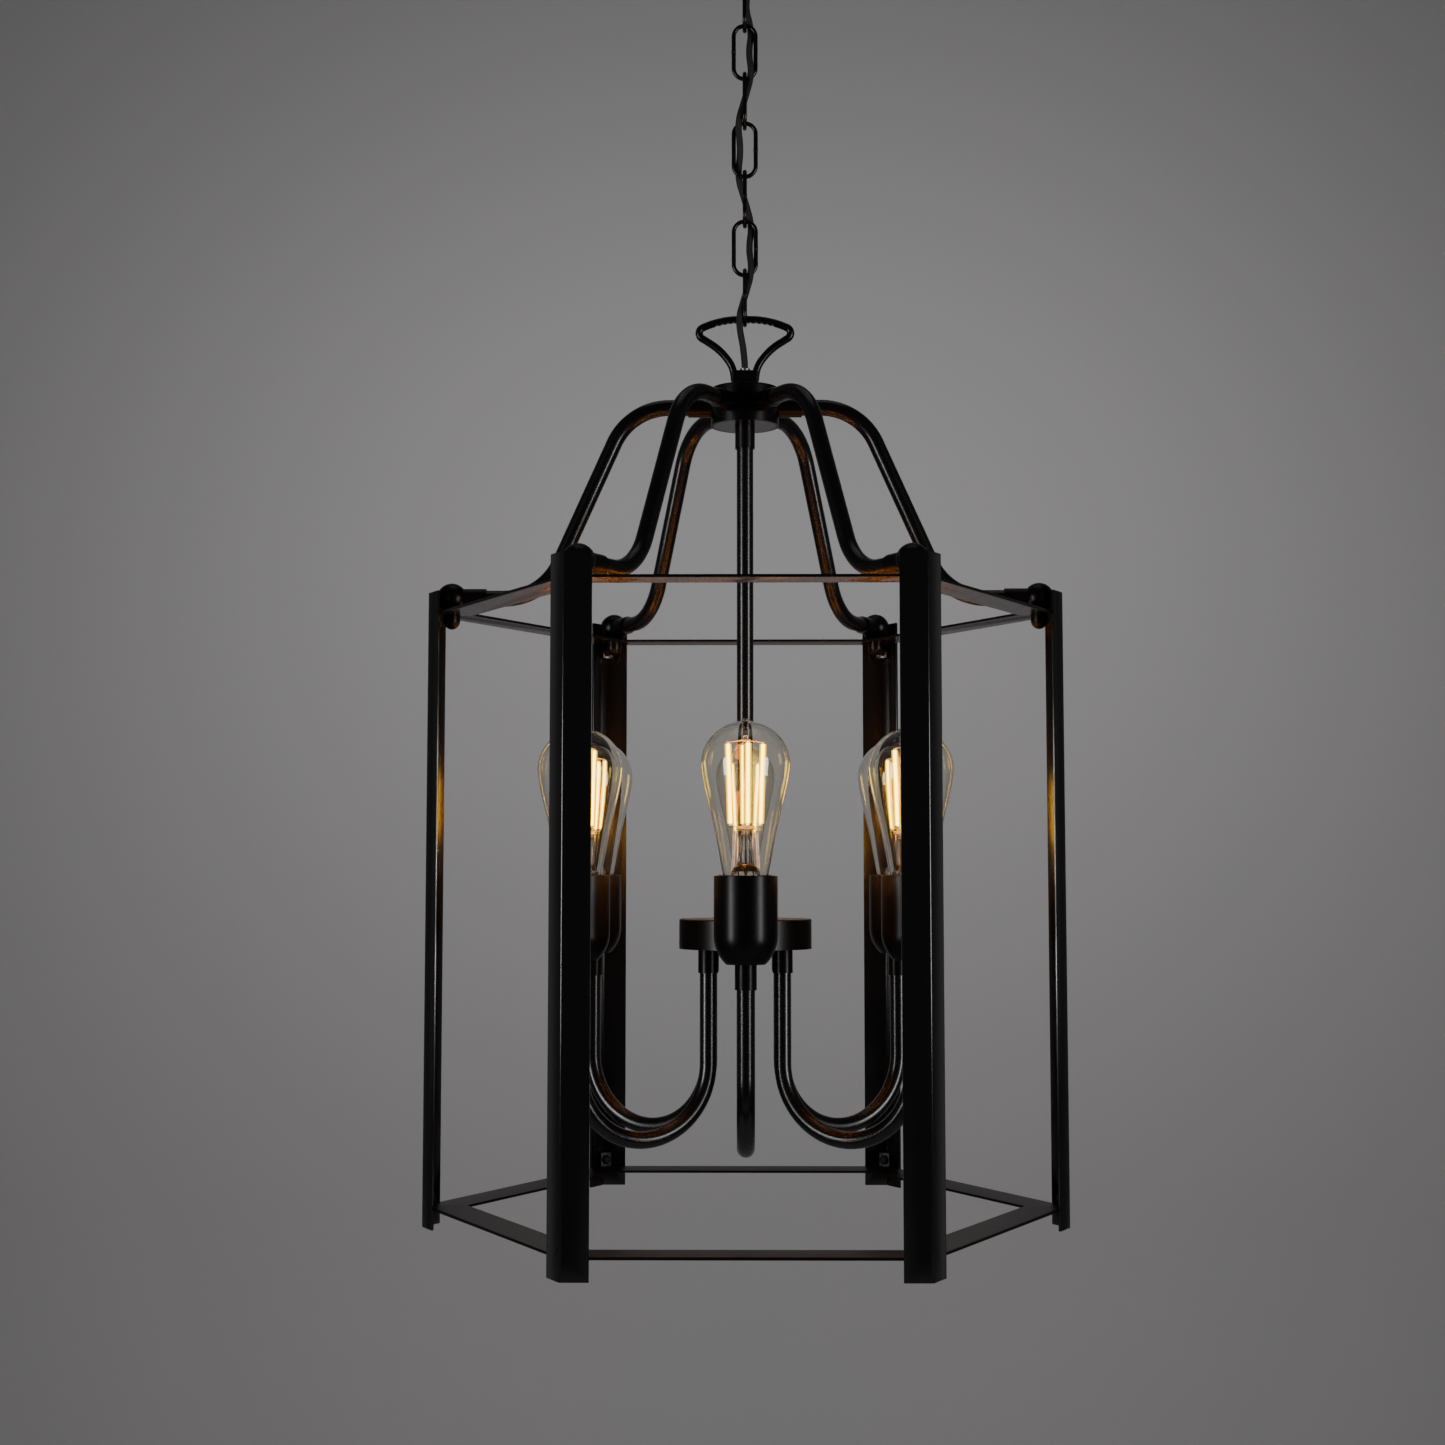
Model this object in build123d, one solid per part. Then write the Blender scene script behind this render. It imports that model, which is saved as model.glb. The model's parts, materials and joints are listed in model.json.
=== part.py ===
"""Six-light hexagonal hanging lantern on a chain, with its ceiling fitting.

Millimetres, +Z up. The origin is the centre of the canopy's rim, on the ceiling, and everything
hangs below it on the Z axis. Corners of the cage lie on X, lamps lie between the corners.
"""
from build123d import *
from math import cos, pi, radians, sin, sqrt, tan
import os

# ---------------------------------------------------------------- driving dimensions
SIDES = 6                    # corners, roof arms, lamp arms and bulbs
STEP = 360 / SIDES           # degrees between corners
LAMP_TURN = STEP / 2         # lamps stand half way between corners

# clearances
hang_gap = 0.3               # between two parts that hang in each other
slip_fit = 0.1               # round a tube in its ferrule or hole, on the radius
plate_fit = 0.2              # round a cover in its drum, on the radius
cap_gap = 0.2                # between the bulb cap and its centre contact

# ceiling fitting
canopy_d, canopy_height, canopy_wall, canopy_edge_r = 110.0, 32.0, 1.5, 9.0
bracket_length, bracket_width, bracket_t = 92.0, 18.0, 2.5
bracket_screw_spacing, bracket_screw_d = 74.0, 5.0
terminal_length, terminal_width, terminal_height, terminal_x = 30.0, 16.0, 14.0, 27.0
terminal_ways, terminal_bore = 3, 3.2

# threaded nipples, which also carry the flex
nipple_d, nipple_bore, nipple_stand, nipple_reach = 8.0, 5.9, 2.4, 12.0

# cast suspension loops: one on the canopy, one on the upper hub
loop_bar_d = 6.0
loop_height = 59.2           # seat of the block to the outside of the bar
block_width, block_depth, block_height, block_edge_r = 21.0, 13.0, 13.9, 1.5
leg_x, knee_x, knee_z, shoulder_x, shoulder_z = 8.2, 9.4, 18.0, 19.5, 31.8
horn_x, horn_z, brow_x = 42.0, 46.0, 19.0
knee_r, shoulder_r, horn_r, brow_r = 24.0, 50.0, 5.0, 70.0
notch_count, notch_pitch, notch_depth = 11, 4.6, 0.8

# chain
links = 7
link_length, link_width, link_wire = 47.3, 21.0, 3.4

# flex, threaded through the chain
flex_d = 5.2
flex_points = [              # outward from the canopy nipple, down to the hub nipple
    (0.0, 0.0, -48.9), (0.6, 1.0, -62.4), (5.6, 8.0, -85.4), (0.0, 3.0, -105.85),
    (5.9, 5.9, -125.95), (3.0, 0.0, -146.05), (5.9, -5.9, -166.15), (0.0, -3.0, -186.25),
    (-5.9, -5.9, -206.35), (-3.0, 0.0, -226.45), (-5.9, 5.9, -246.55), (0.0, 3.0, -266.65),
    (5.9, 5.9, -286.75), (3.0, 0.0, -306.85), (5.9, -5.9, -326.95), (0.0, -3.0, -347.05),
    (-5.6, -8.0, -367.5), (-0.6, -1.0, -390.5), (0.0, 0.0, -404.0),
]

# upper hub and roof
hub_d, hub_height, hub_wall, hub_plate_t = 54.0, 30.0, 2.0, 2.0
tube_wall = 1.2
roof_tube_d = 12.7
roof_drop, roof_head_run, roof_foot_run, roof_bend_r = 152.3, 66.0, 72.24, 48.0
ferrule_wall, ferrule_length = 1.2, 18.0

# hexagonal cage
cage_corner_r = 250.0        # axis to the outside of a post's bend
post_leg, post_t, post_bend_r = 20.0, 2.0, 2.0
post_above, post_below, cage_height = 16.0, 14.4, 461.9
ring_width, ring_t = 28.5, 2.0
ball_d, ball_flat = 24.0, 0.4
stud_d, nut_d, nut_skirt, nut_height, nut_bore_depth = 5.0, 13.0, 4.0, 11.0, 7.5
lug_width, lug_height, lug_t = 10.0, 12.0, 2.0
screw_d, screw_head_d, screw_head_t, screw_bite = 4.0, 7.5, 2.8, 1.2

# centre rod and lower hub
rod_d, rod_length, rod_plug, wire_port_d = 13.0, 388.6, 10.0, 5.0
lower_hub_d, lower_hub_height, lower_hub_wall, cover_t, hub_chamfer = 103.0, 23.1, 2.0, 2.0, 1.0

# lamp arms
arm_tube_d, arm_start_r, arm_bend_r, arm_drop, arm_stub = 13.0, 33.0, 55.0, 86.7, 4.0

# lampholder cups and lampholders, E27
cup_d, cup_height, cup_wall, cup_floor_d, cup_bowl_r, cup_above_hub = 45.5, 62.9, 1.2, 28.0, 27.2, -5.9
core_gap, core_below_rim, core_wall, core_floor = 4.05, 3.0, 3.7, 12.0
core_foot_step, core_edge_r = 3.4, 1.0
shell_t, shell_length, shell_below_core = 0.4, 23.0, 2.5
tab_d, tab_t = 8.0, 1.0

# bulbs, ST64
bulb_length, bulb_d, bulb_neck_d, glass_t = 140.0, 64.0, 32.4, 0.9
bulb_above_rim, bulb_waist_drop, bulb_shoulder = 111.8, 30.8, 7.0
bulb_crown = 0.74, 0.68       # on the crown: shares of the waist's radius and of its drop
bulb_flank = 0.22, 0.34       # below the waist: shares of the narrowing and of the way to the neck
bulb_hip = 0.30, 0.30         # above the neck: the same shares, taken from the neck
cap_fit, cap_length, cap_wall, cap_base = 0.4, 22.5, 1.0, 4.0
thread_turns, thread_pitch, thread_start, thread_depth = 5, 3.629, 1.4, 0.45
contact_step, contact_tip_step, contact_height, contact_tip_height = 4.0, 4.2, 4.0, 1.2
stem_r, stem_length, stem_foot_r = 2.2, 58.0, 6.0

# ---------------------------------------------------------------- heights and places
canopy_face = -canopy_height
loop_pivot = loop_height - loop_bar_d + notch_depth - hang_gap - link_wire / 2   # above the seat
link_span = link_length - link_wire                    # bow centre to bow centre
link_pitch = link_span - link_wire - hang_gap

# The canopy loop is the hub loop upside down, so the first link's bow lies above its bar.
top_bow = canopy_face - loop_height + (loop_bar_d - notch_depth) + hang_gap + link_wire / 2
link_bows = [(top_bow - i * link_pitch, top_bow - i * link_pitch - link_span) for i in range(links)]
last_bow = link_bows[-1][1]
hub_top = last_bow - loop_pivot
hub_bottom = hub_top - hub_height

roof_head_z = hub_top - hub_height / 2
ball_z = roof_head_z - roof_drop
ring_top = ball_z - ball_d / 2 + ball_flat
post_top = ring_top + post_above
lower_ring_bottom = ring_top - cage_height
post_bottom = lower_ring_bottom - post_below
post_inner_apothem = cage_corner_r * cos(radians(STEP / 2)) - post_t
ring_corner_r = post_inner_apothem / cos(radians(STEP / 2))
ring_inner_r = (post_inner_apothem - ring_width) / cos(radians(STEP / 2))
ball_r_place = (ring_corner_r + ring_inner_r) / 2
roof_head_r = hub_d / 2 - hub_wall + roof_head_run
roof_foot_r = ball_r_place - roof_foot_run

lower_hub_top = hub_bottom - rod_length
lower_hub_bottom = lower_hub_top - lower_hub_height
cover_top = lower_hub_bottom + cover_t
arm_end_r = arm_start_r + 2 * arm_bend_r
cup_floor = lower_hub_bottom + cup_above_hub
cup_rim = cup_floor + cup_height
bulb_tip = cup_rim + bulb_above_rim
contact_bottom = bulb_tip - bulb_length
cap_bottom = contact_bottom + contact_height + cap_gap
cap_top = cap_bottom + cap_length

# The lampholder fills its cup, and the bulb's cap fills the lampholder.
core_r = cup_d / 2 - cup_wall - core_gap
shell_bore_r = core_r - core_wall - shell_t
cap_r = shell_bore_r - cap_fit
contact_r = cap_r - contact_step
contact_tip_r = contact_r - contact_tip_step


# ---------------------------------------------------------------- helpers
def turned(shape, angle):
    """The shape turned about the lantern's axis."""
    return Rot(0, 0, angle) * shape


def all_round(shape, offset=0.0):
    """One copy of the shape for each side, as separate solids."""
    return [turned(shape, offset + i * STEP) for i in range(SIDES)]


def rod_between(r, z_low, z_high, x=0.0):
    """A plain upright cylinder."""
    return Pos(x, 0, (z_low + z_high) / 2) * Cylinder(r, z_high - z_low)


def tube_between(r_out, r_in, z_low, z_high, x=0.0):
    """A plain upright tube."""
    return rod_between(r_out, z_low, z_high, x) - rod_between(r_in, z_low, z_high, x)


def swept(path, radius):
    """A round bar of this radius along a path."""
    start = Plane(origin=path.position_at(0), z_dir=path.tangent_at(0))
    return sweep(start * Circle(radius), path=path)


def pipe(path, r_out, r_in):
    """A tube along a path."""
    return swept(path, r_out) - swept(path, r_in)


def lathe(*edges):
    """A solid turned about Z from a closed outline in the XZ plane."""
    return revolve(make_face(Wire(list(edges))), axis=Axis.Z)


def write(name, *solids):
    """One STEP for each sub-part, named after it."""
    shape = solids[0] if len(solids) == 1 else Compound(children=list(solids))
    shape.label = name
    export_step(shape, f"parts/{name}.step")


os.makedirs("parts", exist_ok=True)


# ---------------------------------------------------------------- ceiling fitting
def ceiling_bracket():
    bar = Pos(0, 0, -bracket_t / 2) * Box(bracket_length, bracket_width, bracket_t)
    bar = fillet(bar.edges().filter_by(Axis.Z), bracket_width / 3)
    for side in (-1, 1):
        bar -= rod_between(bracket_screw_d / 2, -bracket_t, 0, side * bracket_screw_spacing / 2)
    return bar - rod_between(nipple_d / 2, -bracket_t, 0)


def ceiling_canopy():
    cup = rod_between(canopy_d / 2, canopy_face, 0)
    cup = fillet(cup.edges().group_by(Axis.Z)[0], canopy_edge_r)
    inner = rod_between(canopy_d / 2 - canopy_wall, canopy_face + canopy_wall, 0)
    inner = fillet(inner.edges().group_by(Axis.Z)[0], canopy_edge_r - canopy_wall)
    return cup - inner - rod_between(nipple_d / 2, canopy_face, canopy_face + canopy_wall)


def terminal_block():
    block = Pos(terminal_x, 0, -bracket_t - terminal_height / 2) * Box(
        terminal_width, terminal_length, terminal_height)
    for i in range(terminal_ways):
        y = (i - (terminal_ways - 1) / 2) * terminal_length / terminal_ways
        way = Rot(0, 90, 0) * Cylinder(terminal_bore / 2, terminal_width)
        block -= Pos(terminal_x, y, -bracket_t - terminal_height / 2) * way
    return block


def nipple(low, high):
    return tube_between(nipple_d / 2, nipple_bore / 2, low, high)


write("ceiling_bracket", ceiling_bracket())
write("ceiling_canopy", ceiling_canopy())
write("terminal_block", terminal_block())
write("canopy_nipple", nipple(canopy_face - block_height - nipple_stand, 0))


# ---------------------------------------------------------------- cast loops
def cast_loop():
    """The loop standing on its seat at z = 0, in the XZ plane."""
    bar_z = loop_height - loop_bar_d / 2
    half = [(leg_x, block_height / 2), (knee_x, knee_z), (shoulder_x, shoulder_z),
            (horn_x, horn_z), (brow_x, bar_z)]
    points = [(-x, 0, z) for x, z in half] + [(x, 0, z) for x, z in reversed(half)]
    bends = [knee_r, shoulder_r, horn_r, brow_r]
    frame = Wire(FilletPolyline(*points, radius=bends + bends[::-1]).edges())
    loop = swept(frame, loop_bar_d / 2)
    block = Pos(0, 0, block_height / 2) * Box(block_width, block_depth, block_height)
    block = fillet(block.edges().filter_by(Axis.Z), block_edge_r)
    loop = loop + block - rod_between(nipple_d / 2, 0, block_height)
    notch_r = link_wire / 2 + hang_gap
    reach = loop_bar_d / 2 + notch_r - notch_depth
    for i in range(notch_count):
        along = frame.length / 2 + (i - (notch_count - 1) / 2) * notch_pitch
        at = frame.position_at(along, position_mode=PositionMode.LENGTH)
        way = frame.tangent_at(along, position_mode=PositionMode.LENGTH)
        inward = Vector(0, 1, 0).cross(way).normalized()
        notch = Rot(90, 0, 0) * Cylinder(notch_r, 2 * loop_bar_d)
        loop -= Pos(*(at + inward * reach)) * notch
    # The middle notch is a groove round the inner half of the bar, so that a link rocks in it freely.
    width, outer_r = link_wire + 2 * hang_gap, loop_bar_d / 2
    groove = Cylinder(2 * outer_r, width) - Cylinder(outer_r - notch_depth, width)
    outer_half = Pos(0, 0, 2 * outer_r) * Box(2 * width, 4 * outer_r, 4 * outer_r)
    return loop - Pos(0, 0, bar_z) * (Rot(0, 90, 0) * groove - outer_half)


loop = cast_loop()
write("canopy_loop", Pos(0, 0, canopy_face) * (Rot(180, 0, 0) * loop))
write("suspension_loop", Pos(0, 0, hub_top) * loop)
write("loop_nipple", nipple(hub_top - hub_wall - nipple_reach, hub_top + block_height + nipple_stand))


# ---------------------------------------------------------------- chain
def chain_link(face_on):
    """One welded link, centred on the origin, long way up."""
    outline = SlotOverall(link_span, link_width - link_wire, rotation=90).face().outer_wire()
    link = swept(Wire([e for e in (Rot(90, 0, 0) * outline).edges()]), link_wire / 2)
    return link if face_on else turned(link, 90)


for i, (upper, lower) in enumerate(link_bows):
    write(f"chain_link_{i + 1}", Pos(0, 0, (upper + lower) / 2) * chain_link(i % 2 == 1))


# ---------------------------------------------------------------- flex
def flex_radii():
    """The arc at each corner of the route, as large as its two runs allow."""
    radii = []
    for a, b, c in zip(flex_points, flex_points[1:], flex_points[2:]):
        before, after = Vector(*b) - Vector(*a), Vector(*c) - Vector(*b)
        turn = radians(before.get_angle(after))
        radii.append(0.45 * min(before.length, after.length) / tan(turn / 2))
    return radii


bends = flex_radii()
route = Wire(FilletPolyline(*flex_points, radius=bends).edges())
flex = swept(route, flex_d / 2)
print("flex radii", [round(r, 1) for r in bends])
print("flex length", round(route.length, 1), "volume ratio",
      round(flex.volume / (pi * flex_d ** 2 / 4 * route.length), 4))
write("flex_cable", flex)


# ---------------------------------------------------------------- upper hub
def upper_hub():
    drum = rod_between(hub_d / 2, hub_bottom, hub_top)
    drum = chamfer(drum.edges().group_by(Axis.Z)[-1], hub_chamfer / 2)
    drum -= rod_between(hub_d / 2 - hub_wall, hub_bottom, hub_top - hub_wall)
    drum -= rod_between(nipple_d / 2, hub_top - hub_wall, hub_top)
    hole = Rot(0, 90, 0) * Cylinder(roof_tube_d / 2 + slip_fit, hub_wall * 4)
    for copy in all_round(Pos(hub_d / 2, 0, roof_head_z) * hole):
        drum -= copy
    return drum


write("upper_hub", upper_hub())
write("hub_plate", tube_between(hub_d / 2 - hub_wall - plate_fit, rod_d / 2 + slip_fit,
                                hub_bottom, hub_bottom + hub_plate_t))


# ---------------------------------------------------------------- roof arms, balls and nuts
def roof_path():
    points = [(hub_d / 2 - hub_wall, 0, roof_head_z), (roof_head_r, 0, roof_head_z),
              (roof_foot_r, 0, ball_z), (ball_r_place, 0, ball_z)]
    return Wire(FilletPolyline(*points, radius=roof_bend_r).edges())


def ball():
    """Ball with its flat on the ring and its stud through it."""
    sphere = Pos(ball_r_place, 0, ball_z) * Sphere(ball_d / 2)
    below = Pos(ball_r_place, 0, ring_top - ball_d / 2) * Box(ball_d, ball_d, ball_d)
    stud_low = ring_top - ring_t - nut_bore_depth
    return sphere - below + rod_between(stud_d / 2, stud_low, ball_z, ball_r_place)


def acorn_nut(top, x=0.0):
    """Domed nut hanging below a plate, bored for its stud."""
    r, skirt_z = nut_d / 2, top - nut_skirt
    dome_rise = nut_height - nut_skirt
    squash = 1 / sqrt(2)
    dome = ThreePointArc((0, 0, top - nut_height), (r * squash, 0, skirt_z - dome_rise * squash),
                         (r, 0, skirt_z))
    nut = lathe(dome, Line((r, 0, skirt_z), (r, 0, top)), Line((r, 0, top), (0, 0, top)),
                Line((0, 0, top), (0, 0, top - nut_height)))
    return Pos(x, 0, 0) * nut - rod_between(stud_d / 2, top - nut_bore_depth, top, x)


def roof_arm():
    tube = pipe(roof_path(), roof_tube_d / 2, roof_tube_d / 2 - tube_wall)
    return tube - Pos(ball_r_place, 0, ball_z) * Sphere(ball_d / 2)


arm = roof_arm()
for i in range(SIDES):
    write(f"roof_arm_{i + 1}", turned(arm, i * STEP))
write("corner_balls", *all_round(ball()))
write("acorn_nuts", *all_round(acorn_nut(ring_top - ring_t, ball_r_place)),
      acorn_nut(lower_hub_bottom))


# ---------------------------------------------------------------- rings, posts and screws
lug_r = ring_corner_r - lug_width / 2 * tan(radians(STEP / 2))      # outer face of a lug


def hexagon_ring(low, lug_up, studs):
    outer = RegularPolygon(ring_corner_r, SIDES)
    inner = RegularPolygon(ring_inner_r, SIDES)
    ring = Pos(0, 0, low) * extrude(outer - inner, amount=ring_t)
    lug_low = low + ring_t if lug_up else low - lug_height
    lug = Pos(lug_r - lug_t / 2, 0, lug_low + lug_height / 2) * Box(lug_t, lug_width, lug_height)
    screw_hole = Rot(0, 90, 0) * Cylinder(screw_d / 2 + slip_fit, 3 * lug_t)
    lug -= Pos(lug_r, 0, lug_low + lug_height / 2) * screw_hole
    for copy in all_round(lug):
        ring += copy
    if studs:
        for copy in all_round(rod_between(stud_d / 2 + slip_fit, low, low + ring_t, ball_r_place)):
            ring -= copy
    return ring


def post():
    """A strip bent to the cage's corner angle, drilled blind for its two screws."""
    corner = Vector(cage_corner_r, 0)
    inner = Vector(ring_corner_r, 0)
    outline = [corner]
    ends = []
    for side in (1, -1):
        way = Vector(-sin(radians(STEP / 2)), side * cos(radians(STEP / 2)))
        normal = Vector(cos(radians(STEP / 2)), side * sin(radians(STEP / 2)))
        ends.append((corner + way * post_leg, corner + way * post_leg - normal * post_t))
    outline = [corner, ends[0][0], ends[0][1], inner, ends[1][1], ends[1][0]]
    strip = extrude(make_face(Polyline(*[(p.X, p.Y) for p in outline], close=True)),
                    amount=post_top - post_bottom)
    strip = Pos(0, 0, post_bottom) * strip
    strip = fillet(strip.edges().filter_by(Axis.Z).sort_by(Axis.X)[-1], post_bend_r)
    for z in screw_heights:
        hole = Rot(0, 90, 0) * Cylinder(screw_d / 2, 2 * screw_bite)
        strip -= Pos(ring_corner_r, 0, z) * hole
    return strip


def post_screw(z):
    """Pan-head screw from inside the cage, through a ring's lug into the post's bend."""
    seat = lug_r - lug_t
    end = ring_corner_r + screw_bite
    shank = Pos((seat + end) / 2, 0, z) * (Rot(0, 90, 0) * Cylinder(screw_d / 2, end - seat))
    head = Pos(seat - screw_head_t / 2, 0, z) * (Rot(0, 90, 0) * Cylinder(screw_head_d / 2, screw_head_t))
    head = fillet(head.edges().group_by(Axis.X)[0], screw_head_t * 0.6)
    return shank + head


screw_heights = (ring_top - ring_t - lug_height / 2, lower_ring_bottom + ring_t + lug_height / 2)
write("top_ring", hexagon_ring(ring_top - ring_t, False, True))
write("bottom_ring", hexagon_ring(lower_ring_bottom, True, False))
corner_post = post()
for i in range(SIDES):
    write(f"post_{i + 1}", turned(corner_post, i * STEP))
write("post_screws", *[s for z in screw_heights for s in all_round(post_screw(z))])


# ---------------------------------------------------------------- centre rod and lower hub
def centre_rod():
    rod = rod_between(rod_d / 2, cover_top, hub_top - hub_wall)
    rod -= rod_between(nipple_d / 2, cover_top + rod_plug, hub_top - hub_wall)
    port = Rot(0, 90, 0) * Cylinder(wire_port_d / 2, 2 * rod_d)
    rod -= Pos(0, 0, cover_top + rod_plug) * port
    return rod + rod_between(stud_d / 2, lower_hub_bottom - nut_bore_depth, cover_top)


def lower_hub():
    drum = rod_between(lower_hub_d / 2, lower_hub_bottom, lower_hub_top)
    drum = chamfer(drum.edges().group_by(Axis.Z)[-1] + drum.edges().group_by(Axis.Z)[0], hub_chamfer)
    drum -= rod_between(lower_hub_d / 2 - lower_hub_wall, lower_hub_bottom,
                        lower_hub_top - lower_hub_wall)
    return drum - rod_between(rod_d / 2 + slip_fit, lower_hub_top - lower_hub_wall, lower_hub_top)


def lower_hub_cover():
    disc = rod_between(lower_hub_d / 2 - lower_hub_wall - plate_fit, lower_hub_bottom, cover_top)
    disc -= rod_between(stud_d / 2 + slip_fit, lower_hub_bottom, cover_top)
    hole = rod_between(arm_tube_d / 2 + slip_fit, lower_hub_bottom, cover_top, arm_start_r)
    for copy in all_round(hole, LAMP_TURN):
        disc -= copy
    return disc


write("centre_rod", centre_rod())
write("lower_hub", lower_hub())
write("lower_hub_cover", lower_hub_cover())


# ---------------------------------------------------------------- lamp arms
def lamp_arm():
    """A J of tube, from inside the lower hub down, round and up into its cup."""
    bend_z = lower_hub_bottom - arm_drop
    start = (arm_start_r, 0, cover_top + arm_stub)
    turn_in, turn_out = (arm_start_r, 0, bend_z), (arm_end_r, 0, bend_z)
    lowest = (arm_start_r + arm_bend_r, 0, bend_z - arm_bend_r)
    end = (arm_end_r, 0, cup_floor + cup_wall + arm_stub)
    path = Wire([Line(start, turn_in), ThreePointArc(turn_in, lowest, turn_out), Line(turn_out, end)])
    return pipe(path, arm_tube_d / 2, arm_tube_d / 2 - tube_wall)


write("lamp_arms", *all_round(lamp_arm(), LAMP_TURN))


# ---------------------------------------------------------------- ferrules
def ferrules():
    """Short sleeves that cover each joint between a tube and a hub, ball or cup."""
    roof_in, roof_out = roof_tube_d / 2 + slip_fit, roof_tube_d / 2 + slip_fit + ferrule_wall
    lamp_in, lamp_out = arm_tube_d / 2 + slip_fit, arm_tube_d / 2 + slip_fit + ferrule_wall
    flat = Rot(0, 90, 0) * (Cylinder(roof_out, ferrule_length * 2) - Cylinder(roof_in, ferrule_length * 2))
    at_hub = Pos(hub_d / 2, 0, roof_head_z) * flat - rod_between(hub_d / 2, hub_bottom, hub_top)
    sphere = Pos(ball_r_place, 0, ball_z) * Sphere(ball_d / 2)
    sleeve = Rot(0, 90, 0) * (Cylinder(roof_out, ferrule_length) - Cylinder(roof_in, ferrule_length))
    reach = sqrt((ball_d / 2) ** 2 - roof_out ** 2)
    at_ball = Pos(ball_r_place - reach - ferrule_length / 2, 0, ball_z) * sleeve - sphere
    under_hub = tube_between(lamp_out, lamp_in, lower_hub_bottom - ferrule_length,
                             lower_hub_bottom, arm_start_r)
    under_cup = tube_between(lamp_out, lamp_in, cup_floor - ferrule_length, cup_floor, arm_end_r)
    on_rod = tube_between(rod_d / 2 + slip_fit + ferrule_wall, rod_d / 2 + slip_fit,
                          hub_bottom - ferrule_length, hub_bottom)
    return (all_round(at_hub) + all_round(at_ball) + all_round(under_hub, LAMP_TURN)
            + all_round(under_cup, LAMP_TURN) + [on_rod])


write("tube_ferrules", *ferrules())


# ---------------------------------------------------------------- lampholder cups
def cup():
    """Spun cup: straight sides and a bowl that ends in a flat floor, drilled for its arm."""
    r_out, r_in, r_floor = cup_d / 2, cup_d / 2 - cup_wall, cup_floor_d / 2
    centre_r = r_out - cup_bowl_r
    bowl_height = sqrt(cup_bowl_r ** 2 - (r_floor - centre_r) ** 2)

    def on_bowl(radius, z):
        return centre_r + sqrt(radius ** 2 - (bowl_height - z) ** 2)

    inner_bowl = cup_bowl_r - cup_wall
    outer_mid, inner_mid = (on_bowl(cup_bowl_r, bowl_height / 2), 0, bowl_height / 2), (
        on_bowl(inner_bowl, (bowl_height + cup_wall) / 2), 0, (bowl_height + cup_wall) / 2)
    inner_foot = (on_bowl(inner_bowl, cup_wall), 0, cup_wall)
    corners = [(0, 0, 0), (r_floor, 0, 0), (r_out, 0, bowl_height), (r_out, 0, cup_height),
               (r_in, 0, cup_height), (r_in, 0, bowl_height), inner_foot, (0, 0, cup_wall)]
    shell = lathe(Line(corners[0], corners[1]), ThreePointArc(corners[1], outer_mid, corners[2]),
                  Line(corners[2], corners[3]), Line(corners[3], corners[4]),
                  Line(corners[4], corners[5]), ThreePointArc(corners[5], inner_mid, corners[6]),
                  Line(corners[6], corners[7]), Line(corners[7], corners[0]))
    shell = Pos(arm_end_r, 0, cup_floor) * shell
    return shell - rod_between(arm_tube_d / 2 + slip_fit, cup_floor, cup_floor + cup_wall, arm_end_r)


write("lampholder_cups", *all_round(cup(), LAMP_TURN))


# ---------------------------------------------------------------- lampholders
core_bottom = cup_floor + cup_wall + arm_stub
core_top = cup_rim - core_below_rim
shell_top = core_top - shell_below_core
shell_bottom = shell_top - shell_length
tab_top = contact_bottom - hang_gap


def lampholder_core():
    """Insulating body: a floor over the arm's end, and a wall round the screw shell."""
    well_bottom = tab_top - tab_t
    body = rod_between(core_r, well_bottom - core_floor, core_top, arm_end_r)
    body -= rod_between(shell_bore_r + shell_t, well_bottom, core_top, arm_end_r)
    foot = rod_between(core_r - core_foot_step, core_bottom, well_bottom - core_floor, arm_end_r)
    bore = rod_between(arm_tube_d / 2 - tube_wall, core_bottom, well_bottom - core_floor / 2, arm_end_r)
    return fillet(body.edges().group_by(Axis.Z)[-1].sort_by(SortBy.LENGTH)[-1], core_edge_r) + foot - bore


def lampholder_contact():
    """Thin threaded shell, and the centre tab on the floor of the well."""
    ring = tube_between(shell_bore_r + shell_t, shell_bore_r, shell_bottom, shell_top, arm_end_r)
    tab = rod_between(tab_d / 2, tab_top - tab_t, tab_top, arm_end_r)
    return [ring, tab]


write("lampholder_cores", *all_round(lampholder_core(), LAMP_TURN))
write("lampholder_contacts", *[s for piece in lampholder_contact() for s in all_round(piece, LAMP_TURN)])


# ---------------------------------------------------------------- bulbs
def bulb_contact():
    """Black glass insulator with the solder contact under it."""
    cone_height = contact_height - contact_tip_height
    cone = Pos(0, 0, contact_bottom + contact_tip_height + cone_height / 2) * Cone(
        contact_tip_r, contact_r, cone_height)
    tip = rod_between(contact_tip_r, contact_bottom, contact_bottom + contact_tip_height)
    return Pos(arm_end_r, 0, 0) * (cone + tip)


def bulb_cap():
    """Rolled screw cap: rounded ridges one above another stand for its thread."""
    root = cap_r - thread_depth
    cap = rod_between(root, cap_bottom, cap_top)
    cap = chamfer(cap.edges().group_by(Axis.Z)[0], root - contact_r)
    ridge_r = thread_depth * 1.5
    for i in range(thread_turns):
        z = cap_bottom + root - contact_r + thread_start + i * thread_pitch
        cap += Pos(0, 0, z) * Torus(cap_r - ridge_r, ridge_r)
    cap -= rod_between(root - cap_wall, cap_bottom + cap_base, cap_top)
    return Pos(arm_end_r, 0, 0) * cap


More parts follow.
